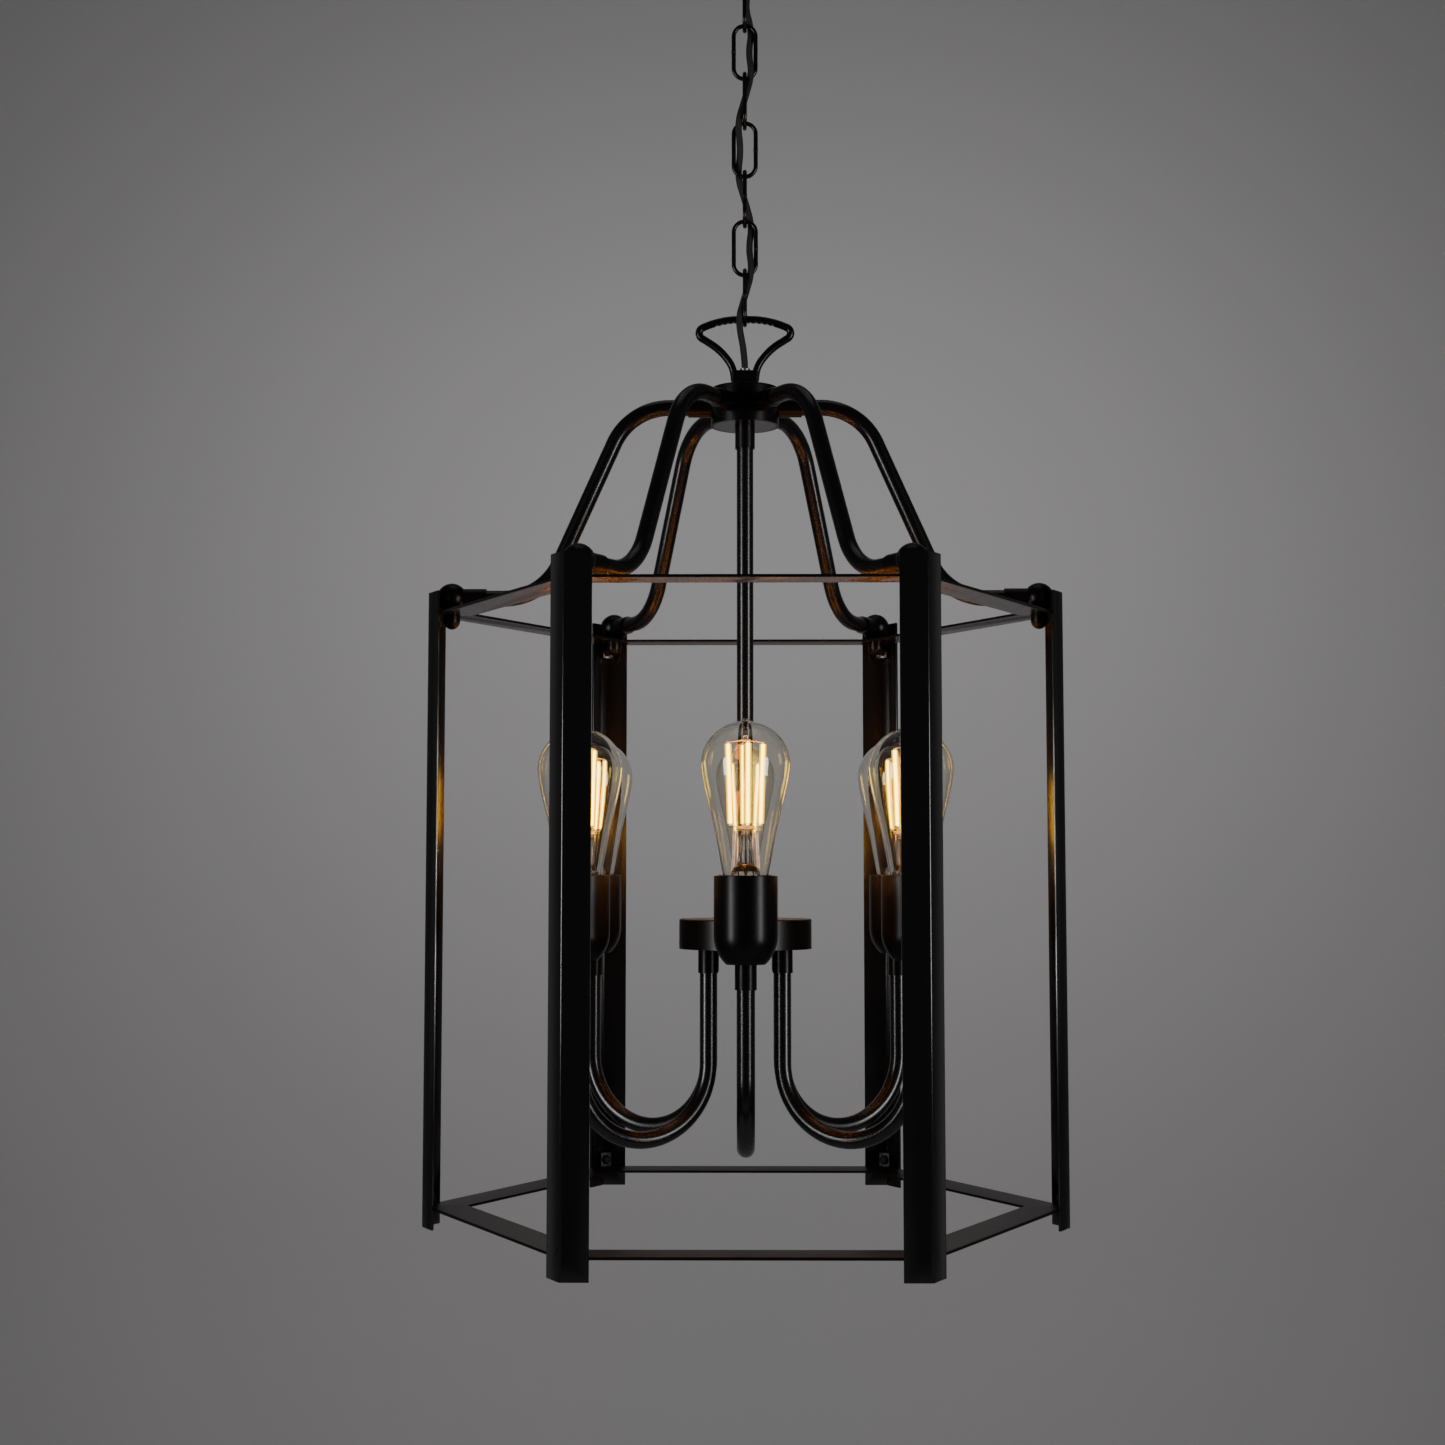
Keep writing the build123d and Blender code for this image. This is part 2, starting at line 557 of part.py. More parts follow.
def bulb_glass():
    """Blown envelope, open at the neck, and its glass stem."""
    foot_r, neck_r, waist_r = cap_r - thread_depth - cap_wall / 2, bulb_neck_d / 2, bulb_d / 2
    foot_z, neck_z = cap_top, cap_top + bulb_shoulder
    waist_z = bulb_tip - bulb_waist_drop
    rise = waist_z - neck_z

    def skin(inset):
        """Outline of the glass drawn in by a distance, from the axis at the tip to the foot."""
        tip = (0, 0, bulb_tip - inset)
        crown = (bulb_crown[0] * (waist_r - inset), 0, waist_z + bulb_crown[1] * (bulb_waist_drop - inset))
        waist = (waist_r - inset, 0, waist_z)
        flank = (waist_r - inset - bulb_flank[0] * (waist_r - neck_r), 0, waist_z - bulb_flank[1] * rise)
        hip = (neck_r - inset + bulb_hip[0] * (waist_r - neck_r), 0, neck_z + bulb_hip[1] * rise)
        neck, foot = (neck_r - inset, 0, neck_z), (foot_r - inset, 0, foot_z)
        side = Spline(waist, flank, hip, neck, tangents=[(0, 0, -1), (0, 0, -1)])
        return [ThreePointArc(tip, crown, waist), side, Line(neck, foot)]

    outer, inner = skin(0), skin(glass_t)
    tip_edge = Line(inner[0] @ 0, outer[0] @ 0)
    foot_edge = Line(outer[-1] @ 1, inner[-1] @ 1)
    envelope = lathe(*outer, foot_edge, *reversed(inner), tip_edge)
    stem = lathe(Line((0, 0, foot_z), (stem_foot_r, 0, foot_z)),
                 Line((stem_foot_r, 0, foot_z), (stem_r, 0, foot_z + 2 * stem_foot_r)),
                 Line((stem_r, 0, foot_z + 2 * stem_foot_r), (stem_r, 0, foot_z + stem_length)),
                 Line((stem_r, 0, foot_z + stem_length), (0, 0, foot_z + stem_length)),
                 Line((0, 0, foot_z + stem_length), (0, 0, foot_z)))
    return Pos(arm_end_r, 0, 0) * envelope, Pos(arm_end_r, 0, 0) * stem


contact, cap, (envelope, stem) = bulb_contact(), bulb_cap(), bulb_glass()
for i in range(SIDES):
    angle = LAMP_TURN + i * STEP
    write(f"bulb_{i + 1}_contact", turned(contact, angle))
    write(f"bulb_{i + 1}_cap", turned(cap, angle))
    write(f"bulb_{i + 1}_glass", turned(envelope, angle), turned(stem, angle))
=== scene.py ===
"""Finished look of a six-light hexagonal hanging lantern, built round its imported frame. Metres, +Z up."""
import json
import math

import bmesh
import bpy
from mathutils import Matrix, Vector
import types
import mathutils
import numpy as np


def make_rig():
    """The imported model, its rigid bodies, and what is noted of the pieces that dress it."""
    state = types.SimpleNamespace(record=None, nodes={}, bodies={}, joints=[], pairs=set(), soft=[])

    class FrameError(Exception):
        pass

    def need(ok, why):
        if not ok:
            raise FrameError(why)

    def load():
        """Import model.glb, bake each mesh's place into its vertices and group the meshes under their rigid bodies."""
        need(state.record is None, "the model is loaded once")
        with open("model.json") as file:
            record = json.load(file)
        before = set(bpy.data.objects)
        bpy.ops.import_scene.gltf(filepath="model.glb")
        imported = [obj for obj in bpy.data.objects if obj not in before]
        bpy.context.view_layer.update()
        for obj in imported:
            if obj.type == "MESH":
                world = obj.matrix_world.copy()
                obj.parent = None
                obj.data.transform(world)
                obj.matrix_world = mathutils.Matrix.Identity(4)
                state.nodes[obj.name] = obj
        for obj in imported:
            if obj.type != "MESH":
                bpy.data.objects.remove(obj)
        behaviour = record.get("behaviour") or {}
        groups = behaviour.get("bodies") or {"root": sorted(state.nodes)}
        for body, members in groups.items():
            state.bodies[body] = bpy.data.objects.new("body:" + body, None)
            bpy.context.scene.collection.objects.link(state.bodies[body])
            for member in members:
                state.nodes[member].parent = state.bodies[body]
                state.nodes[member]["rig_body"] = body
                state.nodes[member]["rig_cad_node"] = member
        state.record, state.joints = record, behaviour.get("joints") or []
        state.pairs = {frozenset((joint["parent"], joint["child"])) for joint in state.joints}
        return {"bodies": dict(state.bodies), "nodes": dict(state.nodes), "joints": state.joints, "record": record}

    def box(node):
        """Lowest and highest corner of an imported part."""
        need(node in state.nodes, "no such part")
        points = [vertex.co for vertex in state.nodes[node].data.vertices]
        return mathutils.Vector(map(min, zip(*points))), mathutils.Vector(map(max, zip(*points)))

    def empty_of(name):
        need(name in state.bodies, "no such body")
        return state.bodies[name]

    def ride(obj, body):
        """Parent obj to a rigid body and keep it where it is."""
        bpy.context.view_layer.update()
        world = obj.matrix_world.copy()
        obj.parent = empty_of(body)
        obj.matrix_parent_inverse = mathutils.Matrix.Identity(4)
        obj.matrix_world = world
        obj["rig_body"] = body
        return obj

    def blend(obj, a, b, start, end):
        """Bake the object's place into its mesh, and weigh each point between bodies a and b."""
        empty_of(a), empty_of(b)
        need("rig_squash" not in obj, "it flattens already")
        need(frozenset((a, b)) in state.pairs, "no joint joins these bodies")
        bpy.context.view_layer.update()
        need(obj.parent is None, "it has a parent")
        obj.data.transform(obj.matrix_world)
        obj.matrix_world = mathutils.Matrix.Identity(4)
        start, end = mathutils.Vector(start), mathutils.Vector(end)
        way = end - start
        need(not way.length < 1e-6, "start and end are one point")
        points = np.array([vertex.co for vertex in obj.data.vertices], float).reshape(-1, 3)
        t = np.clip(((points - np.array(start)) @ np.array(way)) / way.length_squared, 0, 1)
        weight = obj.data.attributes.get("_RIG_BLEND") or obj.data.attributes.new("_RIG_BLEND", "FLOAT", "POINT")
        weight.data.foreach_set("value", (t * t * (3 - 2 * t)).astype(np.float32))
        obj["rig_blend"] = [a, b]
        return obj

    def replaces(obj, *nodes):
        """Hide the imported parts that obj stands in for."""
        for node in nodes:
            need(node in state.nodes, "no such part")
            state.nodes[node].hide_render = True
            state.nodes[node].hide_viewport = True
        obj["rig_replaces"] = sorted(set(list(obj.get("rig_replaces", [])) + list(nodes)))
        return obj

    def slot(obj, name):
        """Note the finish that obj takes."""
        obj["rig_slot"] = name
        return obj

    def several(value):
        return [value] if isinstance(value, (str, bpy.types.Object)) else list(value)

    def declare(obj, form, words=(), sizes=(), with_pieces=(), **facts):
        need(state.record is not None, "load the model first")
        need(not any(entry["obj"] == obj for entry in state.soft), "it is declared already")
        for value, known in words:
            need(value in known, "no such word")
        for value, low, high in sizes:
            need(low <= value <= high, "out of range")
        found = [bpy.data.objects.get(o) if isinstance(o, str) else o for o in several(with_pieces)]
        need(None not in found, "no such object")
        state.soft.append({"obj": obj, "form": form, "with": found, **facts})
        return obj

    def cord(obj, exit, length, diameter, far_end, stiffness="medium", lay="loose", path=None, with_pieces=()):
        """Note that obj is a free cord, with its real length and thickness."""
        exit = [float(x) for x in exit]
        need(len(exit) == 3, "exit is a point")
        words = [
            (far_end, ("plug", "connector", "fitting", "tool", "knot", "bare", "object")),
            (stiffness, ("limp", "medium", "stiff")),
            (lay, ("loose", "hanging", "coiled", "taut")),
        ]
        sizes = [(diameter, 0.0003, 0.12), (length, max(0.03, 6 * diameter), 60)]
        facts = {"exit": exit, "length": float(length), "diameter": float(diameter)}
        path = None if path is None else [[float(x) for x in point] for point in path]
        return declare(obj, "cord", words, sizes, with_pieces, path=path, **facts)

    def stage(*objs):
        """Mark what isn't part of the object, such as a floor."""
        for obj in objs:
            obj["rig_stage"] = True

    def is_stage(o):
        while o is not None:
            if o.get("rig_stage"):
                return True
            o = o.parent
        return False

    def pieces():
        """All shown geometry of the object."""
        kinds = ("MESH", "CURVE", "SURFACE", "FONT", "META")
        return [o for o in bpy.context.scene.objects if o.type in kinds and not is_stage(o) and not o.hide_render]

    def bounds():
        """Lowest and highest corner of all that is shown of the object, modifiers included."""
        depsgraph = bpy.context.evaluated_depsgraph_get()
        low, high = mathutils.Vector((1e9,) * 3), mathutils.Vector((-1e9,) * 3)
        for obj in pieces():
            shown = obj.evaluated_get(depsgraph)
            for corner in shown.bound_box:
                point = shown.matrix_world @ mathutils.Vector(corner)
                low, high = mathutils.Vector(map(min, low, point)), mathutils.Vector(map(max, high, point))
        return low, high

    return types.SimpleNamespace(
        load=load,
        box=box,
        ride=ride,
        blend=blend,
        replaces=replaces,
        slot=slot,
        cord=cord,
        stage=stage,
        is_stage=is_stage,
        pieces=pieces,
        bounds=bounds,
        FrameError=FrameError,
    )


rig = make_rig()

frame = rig.load()
cad_low, cad_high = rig.bounds()


# ------------------------------------------------------------------ camera and studio
# A camera a little over a metre and a half in front of the lantern, level with its bulbs and tipped up
# a few degrees, between two tall soft boxes, over a plain pale floor that curves up into a plain wall.
camera_data = bpy.data.cameras.new("camera")
camera_data.sensor_width = 36.0
camera_data.lens = 51.38
camera_data.shift_y = -0.0054
camera_data.clip_start = 0.05
camera = bpy.data.objects.new("camera", camera_data)
camera.location = (-0.0029, -1.6142, -0.8026)
camera.rotation_euler = (math.pi / 2 + 0.0756, 0.0, 0.00924)
bpy.context.scene.collection.objects.link(camera)
bpy.context.scene.camera = camera


def soft_box(name, place, target, width, height, power):
    """A rectangular white lamp of this many watts that faces a point."""
    data = bpy.data.lights.new(name, "AREA")
    data.shape, data.size, data.size_y, data.energy = "RECTANGLE", width, height, power
    lamp = bpy.data.objects.new(name, data)
    lamp.location = place
    lamp.rotation_euler = (Vector(target) - Vector(place)).to_track_quat("-Z", "Y").to_euler()
    lamp.visible_camera = False
    bpy.context.scene.collection.objects.link(lamp)


middle = Vector((0.0, 0.0, -0.75))     # halfway up the cage
soft_box("soft_box_left", (-2.1, -1.6, -0.70), middle, 0.45, 1.3, 30.0)
soft_box("soft_box_right", (2.1, -1.6, -0.70), middle, 0.45, 1.3, 30.0)
soft_box("soft_box_top", (0.0, 0.2, 1.8), middle, 1.6, 1.6, 3.0)
soft_box("wall_wash", (0.05, 1.6, 0.05), (0.05, 3.3, 0.0), 2.2, 0.4, 11.0)

# The room round the stand: dark in front and overhead, a little lighter behind.
room_dark, room_pale = (0.034, 0.034, 0.036, 1.0), (0.080, 0.081, 0.084, 1.0)
world = bpy.data.worlds.new("studio")
bpy.context.scene.world = world
world.use_nodes = True
room = world.node_tree
sky = room.nodes["Background"]
direction = room.nodes.new("ShaderNodeTexCoord")
parts = room.nodes.new("ShaderNodeSeparateXYZ")
behind = room.nodes.new("ShaderNodeMath")
behind.operation = "SUBTRACT"
turned_in = room.nodes.new("ShaderNodeMapRange")
turned_in.inputs["From Min"].default_value = -1.0
shade = room.nodes.new("ShaderNodeValToRGB")
for stop, place, colour in zip(shade.color_ramp.elements, (0.10, 0.65), (room_dark, room_pale)):
    stop.position, stop.color = place, colour
for start, end in ((direction.outputs["Generated"], parts.inputs["Vector"]),
                   (parts.outputs["Y"], behind.inputs[0]), (parts.outputs["Z"], behind.inputs[1]),
                   (behind.outputs["Value"], turned_in.inputs["Value"]),
                   (turned_in.outputs["Result"], shade.inputs["Fac"]),
                   (shade.outputs["Color"], sky.inputs["Color"])):
    room.links.new(start, end)

floor_level, floor_half, wall_y, sweep_r, wall_rise = -2.5, 7.0, 2.4, 0.9, 6.0
sweep_mesh = bmesh.new()
edge_verts = [sweep_mesh.verts.new((-floor_half, y, floor_level)) for y in (-floor_half, wall_y)]
sweep_mesh.edges.new(edge_verts)
bmesh.ops.spin(sweep_mesh, geom=[edge_verts[1]], cent=(0, wall_y, floor_level + sweep_r), axis=(1, 0, 0),
               dvec=(0, 0, 0), angle=math.pi / 2, steps=16, use_merge=False, use_duplicate=False)
top_vert = max(sweep_mesh.verts, key=lambda v: (v.co.z, v.co.y))
lifted = bmesh.ops.extrude_vert_indiv(sweep_mesh, verts=[top_vert])["verts"]
bmesh.ops.translate(sweep_mesh, verts=lifted, vec=(0, 0, wall_rise))
drawn = bmesh.ops.extrude_edge_only(sweep_mesh, edges=sweep_mesh.edges[:])["geom"]
bmesh.ops.translate(sweep_mesh, verts=[g for g in drawn if isinstance(g, bmesh.types.BMVert)],
                    vec=(floor_half * 2, 0, 0))
floor_data = bpy.data.meshes.new("floor_sweep")
for face in sweep_mesh.faces:
    face.smooth = True
sweep_mesh.to_mesh(floor_data)
sweep_mesh.free()
floor = bpy.data.objects.new("floor_sweep", floor_data)
bpy.context.scene.collection.objects.link(floor)
floor_paint = bpy.data.materials.new("pale_floor")
floor_paint.use_nodes = True
floor_shader = floor_paint.node_tree.nodes["Principled BSDF"]
floor_shader.inputs["Base Color"].default_value = (0.50, 0.49, 0.50, 1.0)
floor_shader.inputs["Roughness"].default_value = 0.9
floor_data.materials.append(floor_paint)
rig.stage(floor)


# ------------------------------------------------------------------ flex
# A round lighting flex in a tight black woven sleeve. It leaves the canopy's nipple, winds once round
# the chain every four links and goes down into the nipple on the upper hub, 0.37 m in all.
flex_diameter = 0.0052
flex_sides = 20
flex_points = [
    (0.0, 0.0, -0.0489), (0.0006, 0.0010, -0.0624), (0.0056, 0.0080, -0.0854), (0.0, 0.0030, -0.10585),
    (0.0059, 0.0059, -0.12595), (0.0030, 0.0, -0.14605), (0.0059, -0.0059, -0.16615),
    (0.0, -0.0030, -0.18625), (-0.0059, -0.0059, -0.20635), (-0.0030, 0.0, -0.22645),
    (-0.0059, 0.0059, -0.24655), (0.0, 0.0030, -0.26665), (0.0059, 0.0059, -0.28675),
    (0.0030, 0.0, -0.30685), (0.0059, -0.0059, -0.32695), (0.0, -0.0030, -0.34705),
    (-0.0056, -0.0080, -0.3675), (-0.0006, -0.0010, -0.3905), (0.0, 0.0, -0.4040),
]


def nurbs_line(name, points, fineness):
    """Points read from one open NURBS spline that has these control points."""
    curve = bpy.data.curves.new(name, "CURVE")
    curve.dimensions = "3D"
    spline = curve.splines.new("NURBS")
    spline.points.add(len(points) - 1)
    for held, place in zip(spline.points, points):
        held.co = (*place, 1.0)
    spline.order_u = 3
    spline.use_endpoint_u = True
    spline.resolution_u = fineness
    holder = bpy.data.objects.new(name, curve)
    bpy.context.scene.collection.objects.link(holder)
    line = bpy.data.meshes.new_from_object(holder)
    places = [v.co.copy() for v in line.vertices]
    bpy.data.objects.remove(holder)
    return places


def shader(name):
    """A new material, its node tree and its Principled shader."""
    material = bpy.data.materials.new(name)
    material.use_nodes = True
    return material, material.node_tree, material.node_tree.nodes["Principled BSDF"]


def on_piece(tree, scale=(1.0, 1.0, 1.0)):
    """The piece's own coordinates, stretched."""
    place = tree.nodes.new("ShaderNodeTexCoord")
    mapping = tree.nodes.new("ShaderNodeMapping")
    mapping.inputs["Scale"].default_value = scale
    tree.links.new(place.outputs["Object"], mapping.inputs["Vector"])
    return mapping.outputs["Vector"]


def noise(tree, vector, scale, detail=2.0):
    """Cloudy values from 0 to 1."""
    texture = tree.nodes.new("ShaderNodeTexNoise")
    texture.inputs["Scale"].default_value = scale
    texture.inputs["Detail"].default_value = detail
    tree.links.new(vector, texture.inputs["Vector"])
    return texture.outputs["Fac"]


def spread(tree, value, low, high, start=0.3, end=0.7):
    """The value's range from start to end, as low to high."""
    scaled = tree.nodes.new("ShaderNodeMapRange")
    for socket, number in zip(("From Min", "From Max", "To Min", "To Max"), (start, end, low, high)):
        scaled.inputs[socket].default_value = number
    tree.links.new(value, scaled.inputs["Value"])
    return scaled.outputs["Result"]


def blend_colours(tree, value, dark, light):
    """One colour where the value is 0 and another where it is 1."""
    ramp = tree.nodes.new("ShaderNodeValToRGB")
    ramp.color_ramp.elements[0].color = (*dark, 1.0)
    ramp.color_ramp.elements[1].color = (*light, 1.0)
    tree.links.new(value, ramp.inputs["Fac"])
    return ramp.outputs["Color"]


def relief(tree, height, distance, normal=None):
    """Bump of this height in metres, over another bump if one is given."""
    bump = tree.nodes.new("ShaderNodeBump")
    bump.inputs["Distance"].default_value = distance
    bump.inputs["Strength"].default_value = 1.0
    tree.links.new(height, bump.inputs["Height"])
    if normal:
        tree.links.new(normal, bump.inputs["Normal"])
    return bump.outputs["Normal"]


def arithmetic(tree, operation, first, second):
    """Two values, or a value and a number, in one operation."""
    step = tree.nodes.new("ShaderNodeMath")
    step.operation = operation
    for socket, given in zip(step.inputs, (first, second)):
        if isinstance(given, (int, float)):
            socket.default_value = given
        else:
            tree.links.new(given, socket)
    return step.outputs["Value"]


def woven_sleeve(yarn_count=12, yarn_height=0.0002):
    """Fine herringbone of black yarns, laid out on the flex's own UV map: round it and along it. Its colour holds
    painted shade, darker in the grooves between the yarns and lighter on their crowns.
    """
    material, tree, paint = shader("black_woven_sleeve")
    place = tree.nodes.new("ShaderNodeTexCoord")
    parts = tree.nodes.new("ShaderNodeSeparateXYZ")
    tree.links.new(place.outputs["UV"], parts.inputs["Vector"])
    round_it, along = parts.outputs["X"], parts.outputs["Y"]
    yarns = []
    for lean in (1.0, -1.0):
        slant = arithmetic(tree, "ADD", round_it, arithmetic(tree, "MULTIPLY", along, lean))
        wave = arithmetic(tree, "SINE", arithmetic(tree, "MULTIPLY", slant, yarn_count * math.tau), 0.0)
        yarns.append(arithmetic(tree, "ABSOLUTE", wave, 0.0))
    height = arithmetic(tree, "MAXIMUM", yarns[0], yarns[1])
    tree.links.new(relief(tree, height, yarn_height), paint.inputs["Normal"])
    # Painted shade: the same height that drives the bump darkens the colour in the grooves between the yarns and
    # lightens it on their crowns.
    tree.links.new(blend_colours(tree, height, (0.0015, 0.0015, 0.0018), (0.007, 0.007, 0.008)),
                   paint.inputs["Base Color"])
    paint.inputs["Roughness"].default_value = 0.62
    paint.inputs["Sheen Weight"].default_value = 0.04
    return material


sleeve = woven_sleeve()
route = nurbs_line("flex_route", flex_points, 12)
link_middles = [sum(corner.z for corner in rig.box(f"chain_link_{i}")) / 2 for i in range(1, 8)]
cuts = [0] + [min(range(len(route)), key=lambda i, z=z: abs(route[i].z - z)) for z in link_middles]
cuts.append(len(route) - 1)
hung_in_turn = ["ceiling_fitting"] + [f"link_{i}" for i in range(1, 8)] + ["lantern"]


def tube_along(places, first, last, radius, sides):
    """A closed tube along places[first] to places[last], with a UV map round it and along it."""
    bm = bmesh.new()
    uv = bm.loops.layers.uv.new("UVMap")
    facing = Vector((0, 0, -1))
    turn = Matrix.Identity(3)
    rings, travelled, lengths = [], 0.0, []
    for i, place in enumerate(places[:last + 1]):
        ahead = (places[min(i + 1, len(places) - 1)] - places[max(i - 1, 0)]).normalized()
        turn = facing.rotation_difference(ahead).to_matrix() @ turn
        facing = ahead
        travelled += (place - places[i - 1]).length if i else 0.0
        if i >= first:
            made = bmesh.ops.create_circle(bm, segments=sides, radius=radius,
                                           matrix=Matrix.Translation(place) @ turn.to_4x4())["verts"]
            rings.append(made)
            lengths.append(travelled)
    for near, far, start, end in zip(rings, rings[1:], lengths, lengths[1:]):
        for k in range(sides):
            m = (k + 1) % sides
            face = bm.faces.new((near[k], near[m], far[m], far[k]))
            for loop, (u, v) in zip(face.loops, ((k, start), (k + 1, start), (k + 1, end), (k, end))):
                loop[uv].uv = (u / sides, v / (math.pi * 2 * radius))
    for ring in (rings[0], rings[-1]):
        bm.faces.new(ring)
    bmesh.ops.recalc_face_normals(bm, faces=bm.faces)
    return bm


def as_object(name, bm, material, crease=40.0):
    """The mesh as an object, shaded smooth except across sharp edges."""
    for face in bm.faces:
        face.smooth = True
    for edge in bm.edges:
        edge.smooth = edge.calc_face_angle(0.0) < math.radians(crease)
    mesh = bpy.data.meshes.new(name)
    bm.to_mesh(mesh)
    bm.free()
    mesh.materials.append(material)
    piece = bpy.data.objects.new(name, mesh)
    bpy.context.scene.collection.objects.link(piece)
    return piece


for i, (first, last) in enumerate(zip(cuts, cuts[1:])):
    stretch = as_object(f"flex_stretch_{i + 1}",
                        tube_along(route, first, last, flex_diameter / 2, flex_sides), sleeve, crease=60.0)
    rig.replaces(stretch, "flex_cable")
    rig.slot(stretch, "flex_braid")
    stretch_path = route[first:last + 1]
    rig.cord(stretch, exit=stretch_path[0],
            length=sum((b - a).length for a, b in zip(stretch_path, stretch_path[1:])),
            diameter=flex_diameter, far_end="object", stiffness="medium", lay="hanging", path=stretch_path)
    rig.blend(stretch, hung_in_turn[i], hung_in_turn[i + 1],
             start=(0, 0, stretch_path[0].z), end=(0, 0, stretch_path[-1].z))


# ------------------------------------------------------------------ black finishes
# Every steel part is degreased and powder coated black, with a fine orange peel. The folded posts come
# out glossiest, the drawn tubes and the chain next, then castings and turned parts. The bottom ring and
# the screws are the dullest.
def black_coat(name, roughness, shine, peel_size, peel_height, grey=0.002):
    """Black powder coat, its peel sized in metres, with faint clouds in colour and gloss."""
    material, tree, paint = shader(name)
    place = on_piece(tree)
    clouds = noise(tree, place, 35.0, 4.0)
    colour = blend_colours(tree, spread(tree, clouds, 0.0, 1.0),
                           (grey * 0.7, grey * 0.7, grey * 0.74), (grey * 1.3, grey * 1.28, grey * 1.3))
    tree.links.new(colour, paint.inputs["Base Color"])
    dust = noise(tree, place, 700.0, 3.0)
    tree.links.new(spread(tree, dust, roughness - 0.03, roughness + 0.04), paint.inputs["Roughness"])
    peel = noise(tree, place, 1.0 / peel_size, 2.0)
    waves = noise(tree, place, 0.2 / peel_size, 1.0)
    under = relief(tree, waves, peel_height)
    tree.links.new(relief(tree, peel, peel_height, under), paint.inputs["Normal"])
    paint.inputs["Specular IOR Level"].default_value = shine
    return material


sheet_black = black_coat("black_coat_on_sheet", 0.20, 0.8, 0.0012, 0.000003)
ring_black = black_coat("black_coat_on_rings", 0.40, 0.20, 0.0012, 0.000008)
tube_black = black_coat("black_coat_on_tube", 0.25, 0.50, 0.0012, 0.000002)
turned_black = black_coat("black_coat_on_turned", 0.31, 0.20, 0.0012, 0.00001)
cast_black = black_coat("black_coat_on_casting", 0.28, 0.30, 0.0014, 0.00003)
chain_black = black_coat("black_coat_on_chain", 0.24, 0.36, 0.0012, 0.000008)
fixing_black = black_coat("black_coat_on_fixings", 0.50, 0.12, 0.0012, 0.000008)


# ------------------------------------------------------------------ ceiling bracket and terminal block
# A pressed and zinc-plated steel strap carries the lantern, held to the ceiling by two screws. The
# mains joins the flex in a small ceramic terminal block beside the strap, both hidden in the canopy.
def brushed_zinc():
    """Zinc plate over rolled steel: pale grey with cloudy spangle and faint rolling lines."""
    material, tree, paint = shader("zinc_plate")
    place = on_piece(tree)
    spangle = noise(tree, place, 260.0, 3.0)
    tree.links.new(blend_colours(tree, spread(tree, spangle, 0.0, 1.0), (0.30, 0.31, 0.32),
                                 (0.50, 0.51, 0.52)), paint.inputs["Base Color"])
    paint.inputs["Metallic"].default_value = 1.0
    rolling = noise(tree, on_piece(tree, (60.0, 4000.0, 4000.0)), 1.0, 1.0)
    tree.links.new(spread(tree, rolling, 0.28, 0.42), paint.inputs["Roughness"])
    tree.links.new(relief(tree, rolling, 0.00001), paint.inputs["Normal"])
    return material


def pale_ceramic():
    """Glazed steatite: off-white with a few darker specks."""
    material, tree, paint = shader("glazed_steatite")
    specks = noise(tree, on_piece(tree), 900.0, 2.0)
    tree.links.new(blend_colours(tree, spread(tree, specks, 0.0, 1.0, 0.25, 0.4), (0.45, 0.42, 0.36),
                                 (0.78, 0.75, 0.68)), paint.inputs["Base Color"])
    paint.inputs["Roughness"].default_value = 0.22
    return material


def finish_node(name, material):
    """Gives a CAD node its finish."""
    node = bpy.data.objects[name]
    node.data.materials.clear()
    node.data.materials.append(material)


zinc = brushed_zinc()
finish_node("ceiling_bracket", zinc)
finish_node("terminal_block", pale_ceramic())


# ------------------------------------------------------------------ canopy
# A shallow steel cup, spun with a rounded edge and powder coated, closes the ceiling hole. The threaded
# nipple that holds it up also brings the flex out of its middle.
finish_node("ceiling_canopy", sheet_black)
finish_node("canopy_nipple", zinc)


# ------------------------------------------------------------------ suspension loops
# Two alike sand-cast iron loops with a notched bar, one screwed under the canopy and one on the upper
# hub. The chain's end link drops into the middle notch and the flex passes through the loop's window.
finish_node("canopy_loop", cast_black)
finish_node("suspension_loop", cast_black)
finish_node("loop_nipple", zinc)


# ------------------------------------------------------------------ chain
# Seven oval links of round steel wire, bent round a mandrel and butt welded in the middle of one side,
# where the weld leaves a slightly swollen band. They were coated black after the chain was made up.
link_wire, link_sides = 0.0034, 24
straight_steps, bow_steps = 12, 24
weld_reach, weld_swell = 0.0016, 0.00022


def open_ring(bm, place, facing, radius, sides):
    """Edges of a circle about a place, square to a direction."""
    turn = Vector((0, 0, 1)).rotation_difference(Vector(facing)).to_matrix().to_4x4()
    made = bmesh.ops.create_circle(bm, segments=sides, radius=radius,
                                   matrix=Matrix.Translation(place) @ turn)["verts"]
    return list({edge for vert in made for edge in vert.link_edges})


def run_on(bm, ring, way, steps=1):
    """Draws a ring out into a straight stretch of tube, and gives the ring at its far end."""
    for _ in range(steps):
        drawn = bmesh.ops.extrude_edge_only(bm, edges=ring)["geom"]
        bmesh.ops.translate(bm, verts=[g for g in drawn if isinstance(g, bmesh.types.BMVert)],
                            vec=Vector(way) / steps)
        ring = [g for g in drawn if isinstance(g, bmesh.types.BMEdge)
                and all(v in drawn for v in g.verts)]
    return ring


def bend_on(bm, ring, centre, axis, angle, steps):
    """Draws a ring out round a bend, and gives the ring at its far end."""
    verts = list({v for edge in ring for v in edge.verts})
    turned = bmesh.ops.spin(bm, geom=verts + ring, cent=centre, axis=axis, dvec=(0, 0, 0),
                            angle=angle, steps=steps, use_merge=False, use_duplicate=False)["geom_last"]
    return [g for g in turned if isinstance(g, bmesh.types.BMEdge)]


